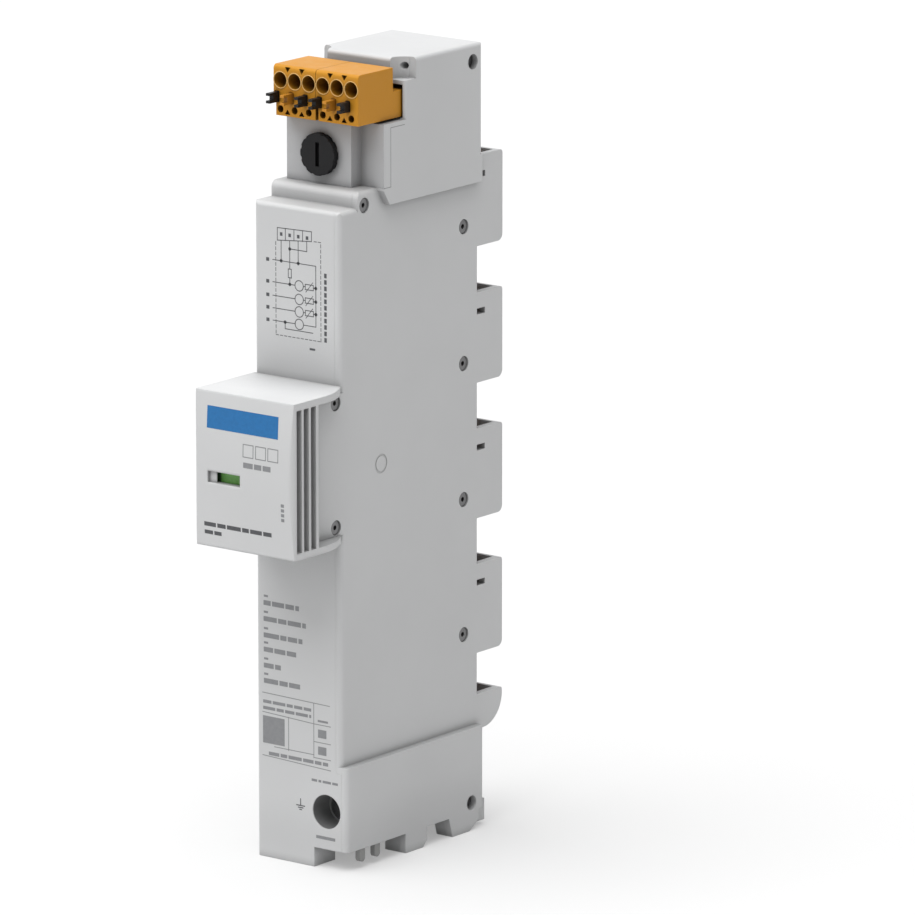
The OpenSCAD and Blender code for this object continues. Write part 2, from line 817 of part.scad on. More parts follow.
// One pull-out plug: wire entries on top, release buttons in the middle, test holes below
module plug(side) {
  x0 = plug_x[side] - plug_w / 2 + snug / 2;
  x1 = plug_x[side] + plug_w / 2 - snug / 2;
  seat()
    difference() {
      union() {
        span([x0, plug_y, plug_z], [x1, plug_back, plug_top]);
        span([x0, plug_back - past, plug_z], [x1, tongue_back, plug_z + tongue_h]);
      }
      span([x0 - past, plug_y - past, plug_z - past], [x0 + key_w, plug_back - past, plug_z + key_h]);
      for (i = [0 : poles - 1]) {
        px = pole_x(side * poles + i);
        rod_y([px, plug_y - past, entry_z], entry_r, entry_d + past);
        rod_y([px, plug_y - past, test_z], test_r, test_d + past);
        span([px - chamber_w / 2, chamber_y, channel_z],
             [px + chamber_w / 2, chamber_y + chamber_d, entry_z + chamber_over]);
        span([px - chamber_w / 2, chamber_y, channel_z],
             [px + chamber_w / 2, tongue_back + past, channel_z + channel_h]);
        span([px + button_x - button_w / 2 - snug, plug_y - past, button_z - snug],
             [px + button_x + button_w / 2 + snug, chamber_y + past, button_z + button_h + snug]);
      }
      for (i = [0 : poles - 2]) {
        mx = pole_x(side * poles + i) + pole_pitch / 2;
        translate([mx, plug_y - past, plug_top - relief_top]) relief();
        translate([mx, plug_y - past, plug_z + relief_low]) mirror([0, 0, 1]) relief();
      }
      edge_x(plug_y, plug_top, x0 - past, x1 + past, -1, 1, plug_r);
    }
}

// Three-cornered relief in a plug front, point down
module relief() {
  rotate([-90, 0, 0])
    linear_extrude(relief_d + past)
      polygon([[-relief_w / 2, 0], [relief_w / 2, 0], [0, relief_h]]);
}

module plug_left() { color("orange") plug(0); }

module plug_right() { color("orange") plug(1); }

// Clamp contacts of one plug, each with a socket for its pin
module plug_contacts(side) {
  seat()
    for (i = [0 : poles - 1]) {
      px = pole_x(side * poles + i);
      z0 = channel_z + contact_gap;
      difference() {
        union() {
          span([px - contact_w / 2, contact_y, z0], [px + contact_w / 2, contact_back, z0 + contact_w]);
          span([px - contact_w / 2, chamber_y + chamber_d - contact_leaf, z0],
               [px + contact_w / 2, chamber_y + chamber_d - snug, entry_z + contact_over]);
        }
        span([px - contact_bore / 2, chamber_y, pin_z - contact_bore / 2],
             [px + contact_bore / 2, contact_back + past, pin_z + contact_bore / 2]);
      }
    }
}

module plug_contacts_left() { color("silver") plug_contacts(0); }

module plug_contacts_right() { color("silver") plug_contacts(1); }

// Release button with a notch for a screwdriver in its front end
module release_button(i, tone) {
  bx = pole_x(i) + button_x;
  color(tone)
    seat()
      difference() {
        span([bx - button_w / 2, plug_y - button_out, button_z],
             [bx + button_w / 2, plug_y + button_in, button_z + button_h]);
        span([bx - button_w, plug_y - button_out - past, button_z + (button_h - notch_h) / 2],
             [bx + button_w, plug_y - button_out + notch_d, button_z + (button_h + notch_h) / 2]);
      }
}

module release_button_1() { release_button(0, "black"); }

module release_button_2() { release_button(1, "orange"); }

module release_button_3() { release_button(2, "black"); }

module release_button_4() { release_button(3, "black"); }

module release_button_5() { release_button(4, "orange"); }

module release_button_6() { release_button(5, "black"); }

// Slotted cap with the skirt that takes the front end of the fuse link
module fuse_cap() {
  front = block_y - cap_out;
  color("black")
    seat()
      difference() {
        union() {
          rod_y([fuse_x, front, fuse_z], cap_r, cap_out - cap_gap);
          rod_y([fuse_x, front + past, fuse_z], skirt_r, skirt_back - front - past);
        }
        rod_y([fuse_x, fuse_y - snug, fuse_z], fuse_bore_r, skirt_back);
        for (k = [0 : cap_lobes - 1])
          translate([fuse_x, front - past, fuse_z])
            rotate([0, (k + 1 / 2) * 360 / cap_lobes, 0])
              rod_y([cap_r + lobe_r - lobe_in, 0, 0], lobe_r, cap_out + past);
        span([fuse_x - cap_slot_w / 2, front - past, fuse_z - cap_slot_h / 2],
             [fuse_x + cap_slot_w / 2, front + cap_slot_t, fuse_z + cap_slot_h / 2]);
      }
}

module fuse_tube() {
  color("white")
    seat()
      rod_y([fuse_x, fuse_y + fuse_end, fuse_z], tube_r, fuse_l - 2 * fuse_end);
}

module fuse_end_caps() {
  color("silver")
    seat()
      for (y = [fuse_y, fuse_y + fuse_l - fuse_end])
        rod_y([fuse_x, y, fuse_z], fuse_r, fuse_end);
}

// Cup on the board that takes the rear end of the fuse link
module fuse_contact() {
  color("silver")
    seat()
      difference() {
        rod_y([fuse_x, cup_y, fuse_z], cup_r, board_y - cup_y);
        rod_y([fuse_x, cup_y - past, fuse_z], fuse_bore_r, fuse_y + fuse_l + fit - cup_y + past);
      }
}

// Fork that grips a busbar, with a stem that leads into the housing
module clip(z, top) {
  seat() {
    span([stem_x, stem_y, z], [stem_x + stem_w, jaw_y + strip_t, z + strip_t]);
    span([-clip_w / 2, jaw_y, z], [clip_w / 2, jaw_y + jaw_gap + 2 * strip_t, z + strip_t]);
    span([-clip_w / 2, jaw_y, z], [clip_w / 2, jaw_y + strip_t, top]);
    span([-clip_w / 2, jaw_y + strip_t + jaw_gap, z], [clip_w / 2, jaw_y + 2 * strip_t + jaw_gap, top]);
    for (y = [jaw_y + strip_t / 2, jaw_y + jaw_gap + 3 * strip_t / 2])
      rod_x([-clip_w / 2, y, top - jaw_r], jaw_r, clip_w);
  }
}

module busbar_clip(k) { color("peru") clip(stem_at(k), foot_at(k) + foot_h - jaw_drop); }

module busbar_clip_1() { busbar_clip(0); }

module busbar_clip_2() { busbar_clip(1); }

module busbar_clip_3() { busbar_clip(2); }

module busbar_clip_4() { busbar_clip(3); }

module earth_clip() { color("peru") clip(earth_stem_z, short_z + short_h - jaw_drop); }

// Square varistor with a lug towards its spark gap
module varistor(k) {
  color("steelblue")
    seat() {
      translate([x_in, varistor_y, varistor_at(k) - varistor_s / 2])
        cube([varistor_t, varistor_s, varistor_s]);
      span([lug_x, gap_y + gap_r + gap_play, varistor_at(k) - lug_h / 2],
           [lug_x + lug_w, varistor_y + past, varistor_at(k) + lug_h / 2]);
    }
}

module varistor_1() { varistor(0); }

module varistor_2() { varistor(1); }

module varistor_3() { varistor(2); }

// Ceramic spark gap with a metal cap at each end
module spark_gap(k) {
  color("linen")
    seat()
      translate([gap_x, gap_y, varistor_at(k) - gap_l / 2]) {
        cylinder(r = gap_r - gap_neck, h = gap_l);
        cylinder(r = gap_r, h = gap_cap_l);
        translate([0, 0, gap_l - gap_cap_l]) cylinder(r = gap_r, h = gap_cap_l);
      }
}

module spark_gap_1() { spark_gap(0); }

module spark_gap_2() { spark_gap(1); }

module spark_gap_3() { spark_gap(2); }

module neutral_spark_gap() {
  color("linen")
    seat() {
      rod_x([x_in, earth_gap_y, earth_gap_z], earth_gap_r, gap_cap_l);
      rod_x([x_in, earth_gap_y, earth_gap_z], earth_gap_r - 2 * gap_neck, earth_gap_l);
      rod_x([earth_gap_x - gap_cap_l, earth_gap_y, earth_gap_z], earth_gap_r, gap_cap_l);
    }
}

// Flat spring soldered to the varistor; its front finger holds the trip bar
module thermal_spring(k) {
  z = varistor_at(k);
  x0 = x_in + varistor_t;
  color("goldenrod")
    seat()
      slab(x0, x0 + spring_t) {
        translate([trip_y + trip_w + fit, z - finger_h / 2]) square([stem_y - trip_y - trip_w, finger_h]);
        translate([pad_y, z - pad_h / 2]) square([pad_h, pad_h]);
        translate([pad_y, z - spring_h / 2]) square([stem_y + spring_leg - pad_y, spring_h]);
        translate([stem_y, stem_at(k)]) square([spring_leg, z + spring_h / 2 - stem_at(k)]);
      }
}

module thermal_spring_1() { thermal_spring(0); }

module thermal_spring_2() { thermal_spring(1); }

module thermal_spring_3() { thermal_spring(2); }

// Strip that joins the three spark gaps, the neutral spark gap and the neutral clip
module neutral_bar() {
  arm_z0 = stem_at(3) + strip_t;
  color("peru")
    seat()
      slab(neutral_x, neutral_x + neutral_t) {
        translate([neutral_y, neutral_foot_z]) square([neutral_w, arm_z0 + neutral_arm_h - neutral_foot_z]);
        translate([neutral_y, arm_z0]) square([stem_y + neutral_over - neutral_y, neutral_arm_h]);
        translate([neutral_y, neutral_foot_z])
          square([earth_gap_y - earth_gap_r - fit - neutral_y, neutral_foot_h]);
      }
}

// Strip from the neutral spark gap to the earth clip and into the clamp cage
module earth_bar() {
  tongue_x0 = term_x - cage_w / 2 + cage_side + fit;
  tongue_x1 = term_x + cage_w / 2 - cage_side - fit;
  color("peru")
    seat() {
      span([earth_gap_x, tongue_y, earth_arm_z],
           [earth_gap_x + earth_bar_t, stem_y + spring_leg, earth_stem_z]);
      span([earth_gap_x, tongue_y, earth_arm_z], [tongue_x1, tongue_y + tongue_t, earth_bend_top]);
      span([tongue_x0, tongue_y, term_z - cage_h / 2], [tongue_x1, tongue_y + tongue_t, earth_bend_top]);
    }
}

// Leads from the upper phase clip and from the neutral bar up to the board
module lead(x, z0, y0) {
  translate([x, lead_y, z0]) cylinder(r = lead_r, h = lead_top - z0);
  translate([x, lead_y, z0]) sphere(lead_r);
  translate([x, lead_y, lead_top]) sphere(lead_r);
  rod_y([x, board_y + board_t, lead_top], lead_r, lead_y - board_y - board_t);
  if (y0 > lead_y)
    rod_y([x, lead_y, z0], lead_r, y0 - lead_y);
}

module fuse_lead() {
  color("sienna")
    seat()
      lead(lead_x, stem_at(2) + strip_t / 2, stem_y);
}

module neutral_lead() {
  color("royalblue")
    seat()
      lead(neutral_x + neutral_t + lead_r, stem_at(3) + strip_t + neutral_arm_h / 2, 0);
}

// Upright bar that the thermal springs hold down, with an arm to the status flag
module trip_bar() {
  color("whitesmoke")
    seat() {
      span([trip_x, trip_y, trip_z], [trip_x + trip_w, trip_y + trip_w, trip_top]);
      span([trip_x, trip_y, arm_z], [arm_x + arm_w, trip_y + trip_w, arm_z + arm_h]);
      span([arm_x, flag_y + flag_t, arm_z], [arm_x + arm_w, trip_y + trip_w, arm_z + arm_h]);
    }
}

// Plate behind the status window, with one field above the other
module status_flag() {
  color("green")
    seat()
      translate([flag_x, flag_y, flag_z]) cube([flag_w, flag_t, flag_h]);
}

module earth_screw() {
  color("dimgray")
    seat()
      difference() {
        union() {
          rod_y([term_x, head_y, term_z], head_r, head_t);
          rod_y([term_x, head_y + past, term_z], shank_r, tongue_y - fit - head_y - past);
        }
        span([term_x - head_slot_w / 2, head_y - past, term_z - head_r],
             [term_x + head_slot_w / 2, head_y + head_slot_t, term_z + head_r]);
      }
}

// Cage that draws the wire against the earth bar as the screw turns
module earth_cage() {
  x0 = term_x - cage_w / 2;
  x1 = term_x + cage_w / 2;
  z0 = term_z - cage_h / 2;
  color("silver")
    seat()
      difference() {
        span([x0, cage_y, z0], [x1, cage_back, z0 + cage_h]);
        span([x0 + cage_side, cage_y + cage_wall, z0 - past],
             [x1 - cage_side, cage_back - cage_wall, z0 + cage_h + past]);
        rod_y([term_x, cage_y - past, term_z], shank_r + fit, cage_wall + 2 * past);
      }
}

base_shell();
side_cover();
front_cover();
housing_rivets();
terminal_insert();
pin_header();
header_pins();
header_board();
plug_left();
plug_right();
plug_contacts_left();
plug_contacts_right();
release_button_1();
release_button_2();
release_button_3();
release_button_4();
release_button_5();
release_button_6();
fuse_cap();
fuse_tube();
fuse_end_caps();
fuse_contact();
busbar_clip_1();
busbar_clip_2();
busbar_clip_3();
busbar_clip_4();
earth_clip();
varistor_1();
varistor_2();
varistor_3();
spark_gap_1();
spark_gap_2();
spark_gap_3();
neutral_spark_gap();
thermal_spring_1();
thermal_spring_2();
thermal_spring_3();
neutral_bar();
earth_bar();
fuse_lead();
neutral_lead();
trip_bar();
status_flag();
earth_screw();
earth_cage();
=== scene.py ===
"""Looks of a busbar surge arrester on a pale floor: plastics, metals, inks, light and camera.

Lengths in the tables are in millimetres in the body frame: X to the right, Y back from the front
face, Z up. The shared frame is in metres and has its origin at MIDDLE.
"""
import json

import bpy
import numpy as np
from mathutils import Matrix, Vector


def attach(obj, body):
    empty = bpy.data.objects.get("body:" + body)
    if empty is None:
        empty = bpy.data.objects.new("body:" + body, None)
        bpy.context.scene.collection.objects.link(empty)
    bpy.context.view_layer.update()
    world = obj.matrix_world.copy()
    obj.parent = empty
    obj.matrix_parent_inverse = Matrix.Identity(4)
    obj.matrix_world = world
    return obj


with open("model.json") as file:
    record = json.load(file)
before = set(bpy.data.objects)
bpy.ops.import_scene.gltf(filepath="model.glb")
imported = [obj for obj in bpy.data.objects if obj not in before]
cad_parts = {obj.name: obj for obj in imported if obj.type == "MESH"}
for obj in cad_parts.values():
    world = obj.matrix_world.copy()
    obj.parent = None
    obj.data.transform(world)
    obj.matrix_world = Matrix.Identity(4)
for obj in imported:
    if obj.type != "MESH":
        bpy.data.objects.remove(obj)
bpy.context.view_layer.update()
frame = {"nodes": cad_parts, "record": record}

MM = 0.001
X, Y, Z = range(3)
MIDDLE = (2.3, 23.8, 0.0)
BODY_LEFT = -15.5
BOX_RIGHT = 17.5
NOSE_FRONT = -27.4
NOSE_MID = 119.3
NOSE_CURVE = 253.6


# Node helpers

MIX_A, MIX_B = 2, 3
MIX_COLOUR_A, MIX_COLOUR_B, MIX_COLOUR_OUT = 6, 7, 2
BEVEL_RAYS = 6
CORNER_RAYS = 8
EDGE_TURN = 0.8
NOISE_RANGE = (0.3, 0.7)
WHITE = (1.0, 1.0, 1.0, 1.0)


def feed(tree, node, inputs):
    """Inputs of a node by name or number: a socket is linked, a value is set."""
    for key, value in inputs.items():
        if isinstance(value, bpy.types.NodeSocket):
            tree.links.new(value, node.inputs[key])
        else:
            node.inputs[key].default_value = value


def add(tree, kind, inputs=None, **settings):
    """Node of one kind with its properties set and its inputs fed."""
    node = tree.nodes.new(kind)
    for key, value in settings.items():
        setattr(node, key, value)
    feed(tree, node, inputs or {})
    return node


def new_material(name):
    """Material with a Principled shader on its output, with its tree and that shader."""
    look = bpy.data.materials.new(name)
    look.use_nodes = True
    tree = look.node_tree
    tree.nodes.clear()
    shader = add(tree, "ShaderNodeBsdfPrincipled")
    add(tree, "ShaderNodeOutputMaterial", {"Surface": shader.outputs[0]})
    return look, tree, shader


def object_point(tree, shift=(0.0, 0.0, 0.0), stretch=(1.0, 1.0, 1.0)):
    """Point in object space, stretched along the axes and then shifted."""
    place = add(tree, "ShaderNodeTexCoord").outputs["Object"]
    moved = add(tree, "ShaderNodeMapping", {"Vector": place, "Location": shift, "Scale": stretch})
    return moved.outputs[0]


def object_axis(tree, axis):
    """One coordinate in object space."""
    place = add(tree, "ShaderNodeTexCoord").outputs["Object"]
    return add(tree, "ShaderNodeSeparateXYZ", {0: place}).outputs[axis]


def ramp(tree, value, start, end, low=0.0, high=1.0):
    """Value mapped from start..end to low..high and held at both ends."""
    sockets = {"Value": value, "From Min": start, "From Max": end, "To Min": low, "To Max": high}
    return add(tree, "ShaderNodeMapRange", sockets).outputs[0]


def beyond(tree, axis, at, soft=0.1):
    """0 before a plane across one axis of the body frame, 1 beyond it."""
    at -= MIDDLE[axis]
    return ramp(tree, object_axis(tree, axis), (at - soft) * MM, (at + soft) * MM)


def noise(tree, scale, detail=2.0, stretch=(1.0, 1.0, 1.0)):
    """Noise in object space, stretched along the axes."""
    point = object_point(tree, stretch=stretch)
    sockets = {"Vector": point, "Scale": scale, "Detail": detail}
    return add(tree, "ShaderNodeTexNoise", sockets).outputs["Fac"]


def span_of(tree, fac, low=0.0, high=1.0):
    """Middle range of a noise mapped to low..high."""
    return ramp(tree, fac, *NOISE_RANGE, low, high)


def blend_of(tree, fac, a, b):
    """Colour mixed from a to b, each a colour or a socket."""
    a, b = ((*c, 1.0) if isinstance(c, tuple) else c for c in (a, b))
    sockets = {"Factor": fac, MIX_COLOUR_A: a, MIX_COLOUR_B: b}
    return add(tree, "ShaderNodeMix", sockets, data_type="RGBA").outputs[MIX_COLOUR_OUT]


def scaled(colour, factor):
    """Colour times a factor, held at white."""
    return tuple(min(c * factor, 1.0) for c in colour)


def rounded_normal(tree, radius):
    """Normal rounded over the edges, and a mask that is 1 on an edge and 0 on a flat."""
    normal = add(tree, "ShaderNodeBevel", {"Radius": radius}, samples=BEVEL_RAYS).outputs[0]
    flat = add(tree, "ShaderNodeNewGeometry").outputs["Normal"]
    dot = add(tree, "ShaderNodeVectorMath", {0: normal, 1: flat}, operation="DOT_PRODUCT")
    return normal, ramp(tree, dot.outputs["Value"], 1.0, EDGE_TURN)


def painted_corner_shade(tree, tone, dark, reach, clear=0.0):
    """Painted shade: tone that goes over to dark where walls close in within reach, as ambient
    occlusion, less the share clear.
    """
    sockets = {"Distance": reach * MM}
    shut = add(tree, "ShaderNodeAmbientOcclusion", sockets, samples=CORNER_RAYS)
    free = add(tree, "ShaderNodeMix", {"Factor": clear, MIX_A: shut.outputs["AO"], MIX_B: 1.0})
    return blend_of(tree, free.outputs[0], dark, tone)


def bump(tree, height, strength, distance, normal):
    """Normal with a relief of the given height on it."""
    sockets = {"Strength": strength, "Distance": distance, "Height": height, "Normal": normal}
    return add(tree, "ShaderNodeBump", sockets).outputs[0]


# Kinds of material; noise scales are per metre

CLOUD_SCALE = 22.0
WEAR_SCALE = 300.0
GRAIN_DEPTH = 0.00006
# Painted corner shade: reach and darkness of its wide and tight parts, and how much of it is let
# off near the floor
WIDE_SHADE_REACH = 20.0
WIDE_SHADE_DARK = 0.36
TIGHT_SHADE_REACH = 2.5
FOOT_HEIGHT = 0.02
FOOT_SHARE = 0.9

STREAK_SCALE = 1600.0
STREAK_DEPTH = 0.00004
TARNISH_SCALE = 130.0
METAL_EDGE = 0.2
ROLLED = (1.0, 1.0, 0.06)
TURNED = (1.0, 1.0, 1.0)


def foot_shade_relief(tree):
    """Share of the painted corner shade let off at the foot of the part, so that the floor hardly
    counts as a wall.
    """
    return ramp(tree, object_axis(tree, Z), FOOT_HEIGHT, 0.0, 0.0, FOOT_SHARE)


def plastic(name, colour, rough=0.5, grain=2400.0, depth=0.25, edge=0.4, mottle=0.03, rub_and_highlight=1.08,
            inner_shade_dark=0.45, gloss=0.35, tint=None):
    """Moulded plastic: cloudy tone, fine eroded grain, edges paled as rub wear and painted
    highlight, inner corners darkened as painted shade.
    """
    look, tree, shader = new_material(name)
    cloud = span_of(tree, noise(tree, CLOUD_SCALE, 3.0))
    tone = blend_of(tree, cloud, scaled(colour, 1.0 - mottle), scaled(colour, 1.0 + mottle))
    normal, mask = rounded_normal(tree, edge * MM)
    # Paler edges: rub wear and a painted highlight where the rounded edges catch the light
    tone = blend_of(tree, mask, tone, scaled(colour, rub_and_highlight))
    if tint:
        tone = tint(tree, tone)
    # Painted shade: the colour darkens in corners and recesses, over a wide and a tight reach
    tone = painted_corner_shade(tree, tone, scaled(colour, WIDE_SHADE_DARK), WIDE_SHADE_REACH, foot_shade_relief(tree))
    tone = painted_corner_shade(tree, tone, scaled(colour, inner_shade_dark), TIGHT_SHADE_REACH)
    feed(tree, shader, {
        "Base Color": tone,
        "Roughness": span_of(tree, noise(tree, WEAR_SCALE), rough - 0.05, rough + 0.05),
        "Normal": bump(tree, noise(tree, grain), depth, GRAIN_DEPTH, normal),
        "Specular IOR Level": gloss,
    })
    return look


def metal(name, colour, rough=0.3, stretch=ROLLED):
    """Rolled or plated metal: streaks along the strip, cloudy tarnish and softened edges."""
    look, tree, shader = new_material(name)
    streak = noise(tree, STREAK_SCALE, 3.0, stretch)
    tarnish = span_of(tree, noise(tree, TARNISH_SCALE, 4.0))
    normal, _ = rounded_normal(tree, METAL_EDGE * MM)
    feed(tree, shader, {
        "Base Color": blend_of(tree, tarnish, scaled(colour, 0.82), scaled(colour, 1.08)),
        "Roughness": span_of(tree, streak, rough - 0.08, rough + 0.12),
        "Metallic": 1.0,
        "Normal": bump(tree, streak, 0.2, STREAK_DEPTH, normal),
    })
    return look


def ink(name, colour):
    """Pad-printed ink: slightly uneven coverage over the grain of the plastic."""
    look, tree, shader = new_material(name)
    cover = span_of(tree, noise(tree, 900.0, 3.0))
    feed(tree, shader, {
        "Base Color": blend_of(tree, cover, scaled(colour, 0.95), scaled(colour, 1.06)),
        "Roughness": span_of(tree, noise(tree, 2400.0), 0.42, 0.58),
    })
    return look


# Tints of single nodes, and two materials of their own

SHELL = (0.71, 0.715, 0.72)
# Painted shade in the earth bore: its tone and its span along Y
BORE_SHADE_DARK = (0.15, 0.15, 0.152)
BORE_SHADE_SPAN = (0.3, 12.0)
EARTH_AXIS = (10.0, 16.9)
EARTH_RADIUS = 5.0
PEG_GREY = (0.36, 0.36, 0.355)
PEG_BACK = 16.0
PEG_TOP = 5.75
FLAG_SPLIT = 115.2
FLAG_PALE_END = -9.4
# Edge and tone of the painted shadow strip on the flag
FLAG_SHADOW_EDGE = -7.8
FLAG_SHADOW_TONE = (0.03, 0.07, 0.03)


def painted_bore_shade(tree, tone):
    """Painted shade in the earth bore: dark where sqrt(x^2 + z^2) from its axis is below the
    radius.
    """
    x, z = EARTH_AXIS
    offset = object_point(tree, ((MIDDLE[X] - x) * MM, 0.0, -z * MM), (1.0, 0.0, 1.0))
    reach = add(tree, "ShaderNodeVectorMath", {0: offset}, operation="LENGTH").outputs["Value"]
    inside = ramp(tree, reach, (EARTH_RADIUS + 0.06) * MM, (EARTH_RADIUS + 0.02) * MM)
    start, end = BORE_SHADE_SPAN
    dark = blend_of(tree, beyond(tree, Y, start), tone, BORE_SHADE_DARK)
    dark = blend_of(tree, beyond(tree, Y, end), dark, tone)
    return blend_of(tree, inside, tone, dark)


def peg_grade(tree, tone):
    """Pegs under the front corner in a darker grade: below the lower box, near the front."""
    low = blend_of(tree, beyond(tree, Y, PEG_BACK), PEG_GREY, tone)
    return blend_of(tree, beyond(tree, Z, PEG_TOP, 0.05), low, tone)


def outer_strip(tree, tone):
    """Strip of the insert that lies flush in the side of the box, in the tone of the shell; the
    rest of the insert keeps a darker grey as painted shade under the plugs.
    """
    return blend_of(tree, beyond(tree, X, BOX_RIGHT - 0.1, 0.05), tone, SHELL)


def flag_material():
    """Plate behind the status window: pale part, a dark strip of painted shadow beside it, green
    field and a red one below it.
    """
    look, tree, shader = new_material("flag_print")
    speck = span_of(tree, noise(tree, 1200.0))
    green = blend_of(tree, speck, (0.16, 0.44, 0.09), (0.2, 0.52, 0.12))
    red = blend_of(tree, speck, (0.55, 0.03, 0.02), (0.66, 0.05, 0.03))
    pale = blend_of(tree, speck, (0.62, 0.63, 0.63), (0.70, 0.71, 0.71))
    fields = blend_of(tree, beyond(tree, Z, FLAG_SPLIT), red, green)
    # Painted shadow: a near-black strip between the pale part and the green field
    fields = blend_of(tree, beyond(tree, X, FLAG_SHADOW_EDGE, 0.3), FLAG_SHADOW_TONE, fields)
    fields = blend_of(tree, beyond(tree, X, FLAG_PALE_END), pale, fields)
    rough = span_of(tree, noise(tree, 500.0), 0.35, 0.5)
    feed(tree, shader, {"Base Color": fields, "Roughness": rough})
    return look


def glass_material():
    """Clear fuse tube with faint drawing streaks."""
    look, tree, shader = new_material("fuse_glass_tube")
    streak = noise(tree, 900.0, stretch=(1.0, 0.05, 1.0))
    feed(tree, shader, {
        "Base Color": (0.95, 0.98, 0.97, 1.0),
        "Transmission Weight": 0.9,
        "IOR": 1.5,
        "Roughness": span_of(tree, streak, 0.02, 0.12),
    })
    return look


# Materials of the CAD nodes

# Edge factors pale the edges as rub wear and painted highlight; corner factors set the painted
# corner shade
SMALL = {"rough": 0.4, "grain": 1500.0, "depth": 0.1, "edge": 0.2, "mottle": 0.05, "rub_and_highlight": 1.2}
LEAD = {"rough": 0.38, "grain": 800.0, "depth": 0.1, "edge": 0.2, "mottle": 0.1, "rub_and_highlight": 1.2}
LOOKS = {
    "shell_grey": plastic("shell_plastic", SHELL, 0.52, tint=painted_bore_shade),
    "cover_grey": plastic("cover_plastic", SHELL, 0.52, tint=peg_grade),
    "nose_grey": plastic("nose_plastic", (0.73, 0.735, 0.74), edge=1.0),
    # The insert's grey is darker than the shell's as painted shade under the plugs' overhang
    "insert_grey": plastic("insert_plastic_painted_shade", (0.61, 0.615, 0.625), 0.48, tint=outer_strip),
    "plug_orange": plastic(
        "plug_plastic", (0.68, 0.30, 0.025), 0.42, grain=1500.0, depth=0.1, edge=0.3, mottle=0.05,
        rub_and_highlight=1.3, inner_shade_dark=0.1, gloss=0.2),
    "button_black": plastic(
        "button_dark", (0.014, 0.014, 0.015), 0.4, grain=1500.0, depth=0.1, edge=0.2, mottle=0.1,
        rub_and_highlight=2.0, inner_shade_dark=0.4, gloss=0.25),
    "button_orange": plastic("button_warm", (0.66, 0.28, 0.028), **SMALL, inner_shade_dark=0.2),
    "cap_black": plastic(
        "cap_dark", (0.013, 0.013, 0.014), grain=2000.0, edge=0.3, mottle=0.1, rub_and_highlight=2.2, inner_shade_dark=0.4,
        gloss=0.2),
    "rivet_steel": metal("rivet_plate", (0.2, 0.2, 0.203), 0.45, TURNED),
    "tin_plate": metal("tin_strip", (0.74, 0.73, 0.71)),
    "screw_steel": metal("screw_plate", (0.17, 0.17, 0.175), 0.4, TURNED),
    "copper_strip": metal("copper_sheet", (0.78, 0.42, 0.24)),
    "spring_strip": metal("bronze_sheet", (0.76, 0.56, 0.26), 0.28),
    "board_green": plastic(
        "board_mask", (0.03, 0.17, 0.06), 0.3, grain=900.0, depth=0.15, edge=0.1, mottle=0.12,
        rub_and_highlight=1.3),
    "header_grey": plastic("header_plastic", (0.16, 0.16, 0.165)),
    "ceramic_pale": plastic(
        "glazed_ceramic", (0.78, 0.72, 0.6), 0.22, grain=400.0, depth=0.1, mottle=0.05, rub_and_highlight=1.05),
    "varistor_blue": plastic(
        "dipped_coat", (0.03, 0.075, 0.26), 0.4, grain=500.0, depth=0.4, edge=0.6, mottle=0.15,
        rub_and_highlight=1.2),
    "fuse_glass": glass_material(),
    "lead_brown": plastic("lead_sleeve_brown", (0.16, 0.06, 0.025), **LEAD),
    "lead_blue": plastic("lead_sleeve_blue", (0.03, 0.10, 0.42), **LEAD),
    "trip_white": plastic("trip_plastic", (0.76, 0.76, 0.73), 0.45),
    "flag_fields": flag_material(),
}

for part in frame["record"]["subparts"]:
    mesh = frame["nodes"][part["node"]].data
    mesh.materials.clear()
    mesh.materials.append(LOOKS[part["material_slot"]])


# Meshes

def new_object(name, co, faces, look, smooth=False):
    """Object at the origin from points in metres and faces of four corners."""
    mesh = bpy.data.meshes.new(name)
    mesh.from_pydata(co.tolist(), [], faces.reshape(-1, 4).tolist())
    mesh.polygons.foreach_set("use_smooth", np.full(len(mesh.polygons), smooth))
    mesh.materials.append(look)
    piece = bpy.data.objects.new(name, mesh)
    bpy.context.scene.collection.objects.link(piece)
    return piece


def put(name, points, faces, look, body, smooth=False):
    """Piece on a body from points in the body frame and faces."""
    co = (points.reshape(-1, 3) - MIDDLE) * MM
    piece = new_object(name, co, faces, look, smooth)
    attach(piece, body)
    return piece


def sheet_faces(rows, columns):
    """Faces of a grid of points: corner k, j joins k + 1 and j + 1."""
    i = np.arange(rows - 1)[:, None] * columns + np.arange(columns - 1)
    return np.stack([i, i + columns, i + columns + 1, i + 1], -1).reshape(-1, 4)


def ring_faces(count, around, across):
    """Faces of tori: corner k, j joins k + 1 and j + 1, both wrapped."""
    k, j = np.meshgrid(np.arange(around), np.arange(across), indexing="ij")
    k1, j1 = (k + 1) % around, (j + 1) % across
    corners = [k * across + j, k1 * across + j, k1 * across + j1, k * across + j1]
    f = np.stack(corners, -1).reshape(-1, 4)
    return np.arange(count)[:, None, None] * around * across + f


def thicken(piece, depth):
    """Wall of one thickness behind a sheet."""
    wall = piece.modifiers.new("wall", "SOLIDIFY")
    wall.thickness = depth * MM
    wall.offset = -1.0


# Print tools: flat points x, z and faces

INK_LIFT = 0.02
DASH_STEP = 1.5
DASH_FILL = 0.6
WORD_GAP = 0.5
WORD_LEAST = 0.4
WORDS_MOST = 60


